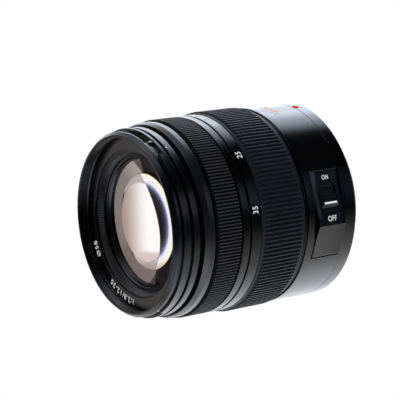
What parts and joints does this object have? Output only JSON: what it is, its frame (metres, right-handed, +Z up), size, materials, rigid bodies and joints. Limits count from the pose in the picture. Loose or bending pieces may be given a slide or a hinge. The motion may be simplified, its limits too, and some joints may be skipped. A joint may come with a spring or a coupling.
{
  "type": "camera zoom lens",
  "caption": "Interchangeable standard zoom lens with ribbed zoom and focus rings, a bayonet mount, a side switch and a front that slides out as the zoom ring turns.",
  "frame": {"origin": "on the optical axis, in the plane of the mount's seat", "axes": "+Y along the optical axis towards the camera, so the front glass faces -Y; +Z up through the red mounting index; +X towards the side with the switch"},
  "size_m": [0.0688, 0.079, 0.0676],
  "materials": {
    "body_black": "satin black",
    "tube_black": "satin black",
    "focus_black": "satin black, finely ribbed",
    "grip_rubber": "matt ribbed rubber",
    "front_black": "matt black",
    "knob_grey": "matt dark grey",
    "mount_steel": "turned metal",
    "pin_steel": "plain",
    "seal_rubber": "matt",
    "contact_gold": "plated",
    "index_red": "gloss",
    "coated_glass": "coated",
    "inner_black": "matt black",
    "inner_metal": "anodised",
    "blade_grey": "matt black",
    "board_green": "lacquered",
    "flex_amber": "film",
    "coil_copper": "wound",
    "magnet_grey": "plain"
  },
  "bodies": {
    "body": {"rear_barrel": "body_black", "fixed_sleeve": "body_black", "front_collar": "body_black", "switch_panel": "body_black", "mount_ring": "mount_steel", "mount_screws": "pin_steel", "focus_rods": "pin_steel", "mount_seal": "seal_rubber", "contact_pins": "contact_gold", "index_dot": "index_red", "second_lens": "coated_glass", "rear_lens": "coated_glass", "contact_block": "inner_black", "rear_baffle": "inner_black", "second_cell": "inner_black", "rear_holder": "inner_black", "guide_tube": "inner_metal", "rod_support": "inner_metal", "main_board": "board_green", "switch_board": "board_green", "flex_cable": "flex_amber", "focus_magnet": "magnet_grey", "focus_sensor": "magnet_grey"},
    "zoom": {"zoom_ring": "body_black", "zoom_grip": "grip_rubber", "zoom_key": "pin_steel", "cam_barrel": "inner_metal"},
    "focus_ring": {"focus_ring": "focus_black", "focus_code": "magnet_grey"},
    "front": {"front_tube": "tube_black", "follower_pins": "pin_steel", "filter_ring": "body_black", "name_ring": "front_black", "front_baffle": "front_black", "retaining_ring": "front_black", "front_element": "coated_glass", "front_second": "coated_glass", "front_cell": "inner_black"},
    "carriage": {"carriage_frame": "inner_metal", "carriage_pins": "pin_steel", "carriage_lens": "coated_glass", "ois_base": "inner_black", "iris_base": "inner_black", "iris_cover": "inner_black", "iris_actuator": "coil_copper"},
    "ois_slider": {"ois_slider": "inner_metal"},
    "ois_frame": {"ois_frame": "inner_black", "ois_lens": "coated_glass"},
    "iris_drive": {"iris_drive": "inner_metal"},
    "focus_group": {"focus_frame": "inner_black", "focus_lens": "coated_glass", "focus_coil": "coil_copper"},
    "knob": {"switch_knob": "knob_grey"},
    "blade_1": {"blade_1": "blade_grey"},
    "blade_2": {"blade_2": "blade_grey"},
    "blade_3": {"blade_3": "blade_grey"},
    "blade_4": {"blade_4": "blade_grey"},
    "blade_5": {"blade_5": "blade_grey"},
    "blade_6": {"blade_6": "blade_grey"},
    "blade_7": {"blade_7": "blade_grey"}
  },
  "joints": [
    {"name": "zoom_turn", "type": "hinge", "parent": "body", "child": "zoom", "pos_m": [0, -0.0355, 0], "axis": [0, -1, 0], "range_deg": [0, 77]},
    {"name": "front_slide", "type": "slide", "parent": "body", "child": "front", "axis": [0, -1, 0], "range_m": [0, 0.024]},
    {"name": "carriage_slide", "type": "slide", "parent": "body", "child": "carriage", "axis": [0, -1, 0], "range_m": [0, 0.008]},
    {"name": "focus_turn", "type": "hinge", "parent": "body", "child": "focus_ring", "pos_m": [0, -0.0544, 0], "axis": [0, -1, 0], "continuous": true},
    {"name": "focus_slide", "type": "slide", "parent": "body", "child": "focus_group", "axis": [0, -1, 0], "range_m": [-0.002, 0.0035]},
    {"name": "switch_slide", "type": "slide", "parent": "body", "child": "knob", "axis": [-0.3309, 0, 0.9437], "range_m": [0, 0.002]},
    {"name": "ois_across", "type": "slide", "parent": "carriage", "child": "ois_slider", "axis": [1, 0, 0], "range_m": [-0.0004, 0.0004], "stiffness_N_per_m": 1000},
    {"name": "ois_upright", "type": "slide", "parent": "ois_slider", "child": "ois_frame", "axis": [0, 0, 1], "range_m": [-0.0004, 0.0004], "stiffness_N_per_m": 1000},
    {"name": "iris_turn", "type": "hinge", "parent": "carriage", "child": "iris_drive", "pos_m": [0, -0.036, 0], "axis": [0, -1, 0], "range_deg": [0, 20]},
    {"name": "blade_turn_1", "type": "hinge", "parent": "carriage", "child": "blade_1", "pos_m": [0, -0.034, 0.02], "axis": [0, -1, 0], "range_deg": [0, 34.01]},
    {"name": "blade_turn_2", "type": "hinge", "parent": "carriage", "child": "blade_2", "pos_m": [0.01564, -0.034, 0.01247], "axis": [0, -1, 0], "range_deg": [0, 34.01]},
    {"name": "blade_turn_3", "type": "hinge", "parent": "carriage", "child": "blade_3", "pos_m": [0.0195, -0.034, -0.00445], "axis": [0, -1, 0], "range_deg": [0, 34.01]},
    {"name": "blade_turn_4", "type": "hinge", "parent": "carriage", "child": "blade_4", "pos_m": [0.00868, -0.034, -0.01802], "axis": [0, -1, 0], "range_deg": [0, 34.01]},
    {"name": "blade_turn_5", "type": "hinge", "parent": "carriage", "child": "blade_5", "pos_m": [-0.00868, -0.034, -0.01802], "axis": [0, -1, 0], "range_deg": [0, 34.01]},
    {"name": "blade_turn_6", "type": "hinge", "parent": "carriage", "child": "blade_6", "pos_m": [-0.0195, -0.034, -0.00445], "axis": [0, -1, 0], "range_deg": [0, 34.01]},
    {"name": "blade_turn_7", "type": "hinge", "parent": "carriage", "child": "blade_7", "pos_m": [-0.01564, -0.034, 0.01247], "axis": [0, -1, 0], "range_deg": [0, 34.01]}
  ],
  "couplings": [
    {"joint": "front_slide", "follows": "zoom_turn", "m_per_rad": 0.017858},
    {"joint": "carriage_slide", "follows": "zoom_turn", "m_per_rad": 0.0059528},
    {"joint": "blade_turn_1", "follows": "iris_turn", "ratio": 1.7},
    {"joint": "blade_turn_2", "follows": "iris_turn", "ratio": 1.7},
    {"joint": "blade_turn_3", "follows": "iris_turn", "ratio": 1.7},
    {"joint": "blade_turn_4", "follows": "iris_turn", "ratio": 1.7},
    {"joint": "blade_turn_5", "follows": "iris_turn", "ratio": 1.7},
    {"joint": "blade_turn_6", "follows": "iris_turn", "ratio": 1.7},
    {"joint": "blade_turn_7", "follows": "iris_turn", "ratio": 1.7}
  ]
}
